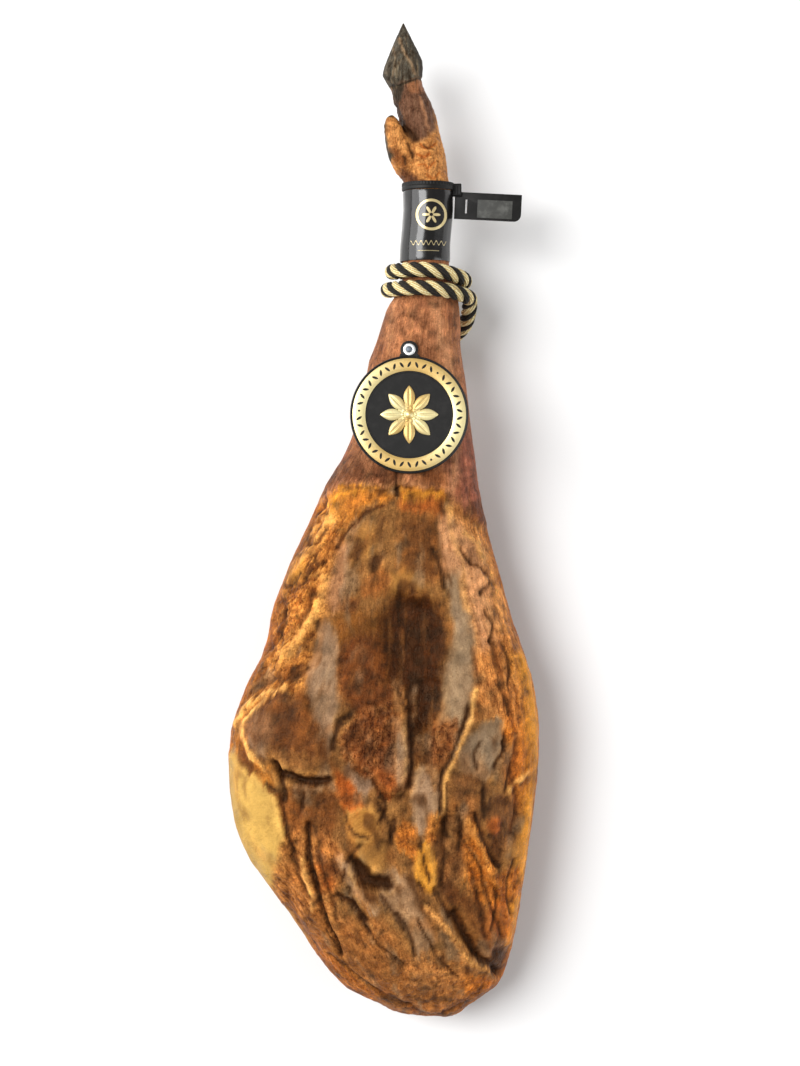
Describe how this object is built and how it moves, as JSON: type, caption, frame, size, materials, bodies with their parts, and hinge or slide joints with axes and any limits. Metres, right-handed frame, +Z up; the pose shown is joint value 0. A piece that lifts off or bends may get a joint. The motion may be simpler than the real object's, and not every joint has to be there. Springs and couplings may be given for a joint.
{
  "type": "cured ham",
  "caption": "Whole bone-in cured ham with its hoof, lying on its outer side, with an ankle sleeve, a plastic seal, a twisted hanging rope and a round pinned medallion.",
  "frame": {"origin": "middle of the footprint of everything but the rope and its knot, on the surface that the ham lies on", "axes": "+Y from the butt to the hoof, +X to the front edge of the leg, +Z up, out of the trimmed inner face"},
  "size_m": [0.2594, 0.8296, 0.1191],
  "materials": {
    "cured_meat": "oily satin rind, dried lean and amber fat",
    "black_film": "glossy shrink film",
    "black_plastic": "satin moulded",
    "twisted_cord": "twisted pale gold and black yarn",
    "gilt": "satin gilt",
    "nickel": "bright nickel"
  },
  "bodies": {
    "root": {"ham": "cured_meat", "label_sleeve": "black_film", "seal_tag": "black_plastic", "rope": "twisted_cord", "rope_knot": "twisted_cord", "medallion_disc": "black_plastic", "medallion_ring": "gilt", "medallion_rosette": "gilt", "medallion_eyelet": "nickel", "medallion_pin": "nickel"}
  },
  "joints": []
}
